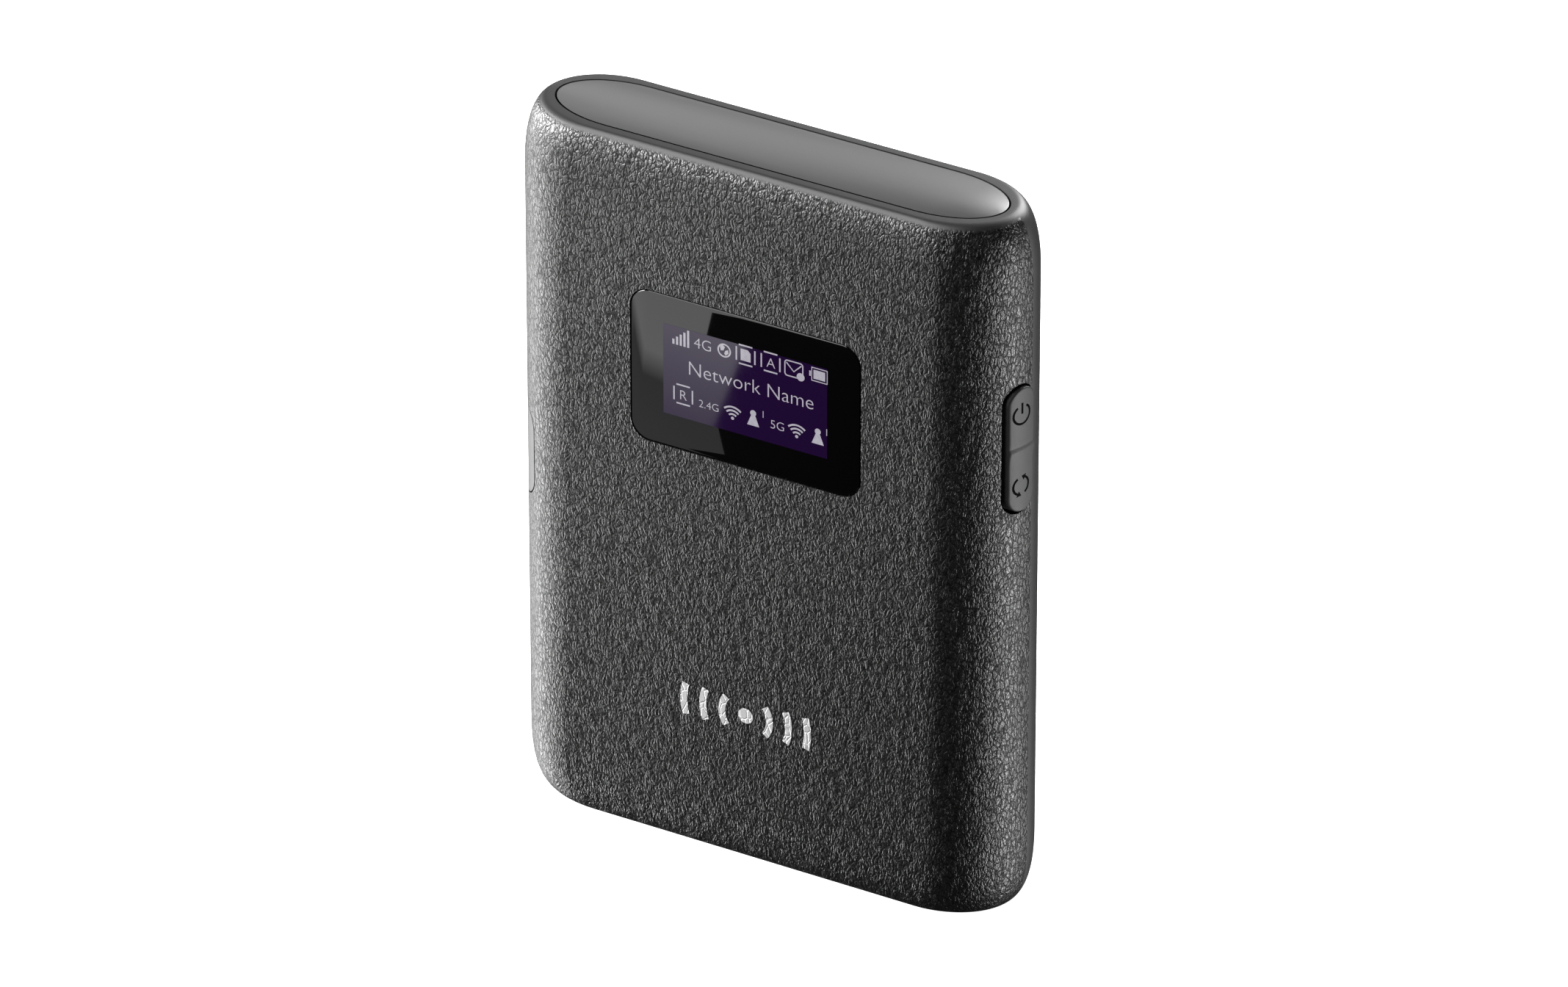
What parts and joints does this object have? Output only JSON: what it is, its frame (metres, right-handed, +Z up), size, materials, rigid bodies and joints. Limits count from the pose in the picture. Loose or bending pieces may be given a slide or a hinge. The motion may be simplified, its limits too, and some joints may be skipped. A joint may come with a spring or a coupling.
{
  "type": "mobile hotspot",
  "caption": "Pocket 4G router in a cushion-shaped leather-grain case with a small lit display, side rocker key, port door and lift-off back.",
  "frame": {"origin": "centre of the flat lower end that the case stands on", "axes": "+Z up along the length, -Y out of the display face, +X towards the side key"},
  "size_m": [0.0704, 0.017, 0.0968],
  "materials": {
    "leather_grain": "moulded leather grain, satin",
    "satin_shell": "fine satin",
    "brushed_cap": "satin, dark grey",
    "black_glass": "polished, printed black from behind",
    "display": "glass display panel, lit",
    "key_plastic": "satin, moulded symbols",
    "door_plastic": "fine satin",
    "frame_plastic": "moulded, eroded matt",
    "solder_mask": "board lacquer, semi-gloss",
    "steel": "drawn sheet, dull",
    "gold": "gold plated",
    "polyimide": "amber film",
    "connector_plastic": "moulded",
    "card_plastic": "printed card",
    "battery_sleeve": "printed film sleeve",
    "foam": "closed-cell foam and tape"
  },
  "bodies": {
    "chassis": {"front_cover": "leather_grain", "top_cap": "brushed_cap", "mid_frame": "frame_plastic", "display_window": "black_glass", "window_adhesive": "foam", "display_panel": "display", "display_cushion": "foam", "display_flex": "polyimide", "display_connector": "connector_plastic", "main_board": "solder_mask", "modem_shield": "steel", "power_shield": "steel", "wifi_shield": "steel", "usb_shell": "steel", "usb_tongue": "connector_plastic", "sim_socket": "connector_plastic", "sim_shell": "steel", "battery_contact_block": "connector_plastic", "battery_contact_1": "gold", "battery_contact_2": "gold", "battery_contact_3": "gold", "power_switch_body": "connector_plastic", "menu_switch_body": "connector_plastic", "main_antenna": "gold", "diversity_antenna": "gold", "screw_bottom_left": "steel", "screw_bottom_right": "steel", "screw_middle_left": "steel", "screw_middle_right": "steel", "screw_top_left": "steel", "screw_top_right": "steel"},
    "back_cover": {"back_cover": "satin_shell"},
    "battery": {"battery_cell": "battery_sleeve", "battery_head": "connector_plastic", "battery_pad_1": "gold", "battery_pad_2": "gold", "battery_pad_3": "gold"},
    "sim_card": {"sim_card": "card_plastic"},
    "key_strip": {"key_strip": "key_plastic"},
    "power_plunger": {"power_switch_plunger": "connector_plastic"},
    "menu_plunger": {"menu_switch_plunger": "connector_plastic"},
    "port_door": {"port_door": "door_plastic"}
  },
  "joints": [
    {"name": "back_cover_slide", "type": "slide", "parent": "chassis", "child": "back_cover", "axis": [0, 1, 0], "range_m": [0, 0.04]},
    {"name": "battery_lift", "type": "slide", "parent": "chassis", "child": "battery", "axis": [0, 1, 0], "range_m": [0, 0.016]},
    {"name": "sim_card_slide", "type": "slide", "parent": "chassis", "child": "sim_card", "axis": [1, 0, 0], "range_m": [0, 0.013]},
    {"name": "side_key_rock", "type": "hinge", "parent": "chassis", "child": "key_strip", "pos_m": [0.0322, -0.002, 0.066], "axis": [0, 1, 0], "range_deg": [-2.5, 2.5], "stiffness_Nm_per_rad": 0.05},
    {"name": "power_switch_travel", "type": "slide", "parent": "chassis", "child": "power_plunger", "axis": [-1, 0, 0], "range_m": [0, 0.00025], "stiffness_N_per_m": 1500},
    {"name": "menu_switch_travel", "type": "slide", "parent": "chassis", "child": "menu_plunger", "axis": [-1, 0, 0], "range_m": [0, 0.00025], "stiffness_N_per_m": 1500},
    {"name": "port_door_hinge", "type": "hinge", "parent": "chassis", "child": "port_door", "pos_m": [-0.03405, -0.0007, 0.0484], "axis": [0, 0, -1], "range_deg": [0, 95]}
  ],
  "couplings": [
    {"joint": "battery_lift", "follows": "back_cover_slide", "ratio": 0.4}
  ]
}
